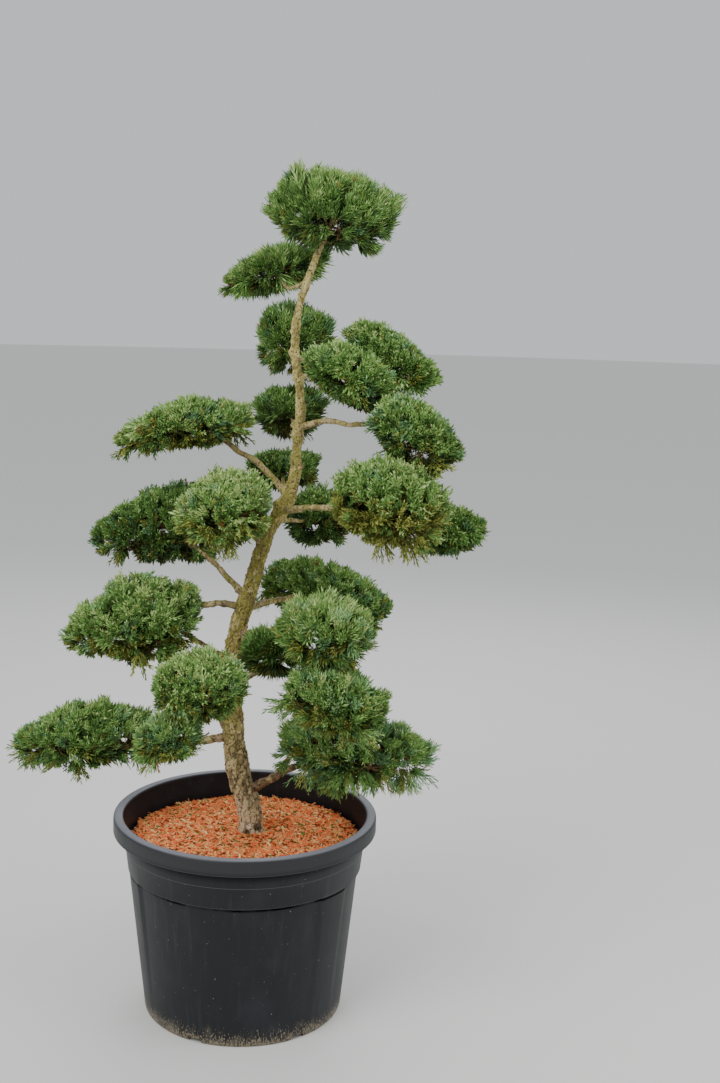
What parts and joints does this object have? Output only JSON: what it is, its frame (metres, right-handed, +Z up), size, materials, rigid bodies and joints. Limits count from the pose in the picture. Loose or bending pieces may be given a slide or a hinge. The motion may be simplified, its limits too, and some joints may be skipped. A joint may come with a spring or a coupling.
{
  "type": "potted juniper bonsai tree",
  "caption": "Juniper trained as a cloud-pruned bonsai: a leaning trunk and boughs carry separate domed pads of needles, in a filled round black plastic pot.",
  "frame": {"origin": "middle of the pot's flat underside", "axes": "+Z up, -Y to the front, +X to the right as seen from the front"},
  "size_m": [1.0767, 0.7374, 1.9703],
  "materials": {
    "pot": "satin, slightly scuffed",
    "bark_mulch": "rough, loose chips",
    "trunk_bark": "rough, flaking",
    "bough_bark": "rough",
    "needles": "matte"
  },
  "bodies": {
    "root": {"pot": "pot", "soil": "bark_mulch", "trunk": "trunk_bark", "bough_upper_left": "bough_bark", "bough_upper_back": "bough_bark", "bough_middle_back": "bough_bark", "bough_centre_back": "bough_bark", "bough_high_left": "bough_bark", "bough_middle_left_back": "bough_bark", "bough_middle_left": "bough_bark", "bough_low_left": "bough_bark", "bough_front": "bough_bark", "bough_front_low": "bough_bark", "bough_lowest_left": "bough_bark", "bough_high_right_back": "bough_bark", "bough_high_right": "bough_bark", "bough_high_right_tip": "bough_bark", "bough_middle_right_back": "bough_bark", "bough_middle_right": "bough_bark", "bough_middle_right_tip": "bough_bark", "bough_low_right_back": "bough_bark", "bough_low_right": "bough_bark", "bough_low_right_inner": "bough_bark", "bough_low_right_tip": "bough_bark", "bough_lowest_right": "bough_bark", "bough_back_low_left": "bough_bark", "bough_back_low_right": "bough_bark", "bough_low_left_under": "bough_bark", "foliage_crown": "needles", "foliage_upper_left": "needles", "foliage_upper_back": "needles", "foliage_middle_back": "needles", "foliage_centre_back": "needles", "foliage_high_left": "needles", "foliage_middle_left_back": "needles", "foliage_middle_left": "needles", "foliage_low_left": "needles", "foliage_front": "needles", "foliage_front_low": "needles", "foliage_lowest_left": "needles", "foliage_high_right_back": "needles", "foliage_high_right": "needles", "foliage_high_right_tip": "needles", "foliage_middle_right_back": "needles", "foliage_middle_right": "needles", "foliage_middle_right_tip": "needles", "foliage_low_right_back": "needles", "foliage_low_right": "needles", "foliage_low_right_inner": "needles", "foliage_low_right_tip": "needles", "foliage_lowest_right": "needles", "foliage_back_low_left": "needles", "foliage_back_low_right": "needles"}
  },
  "joints": []
}
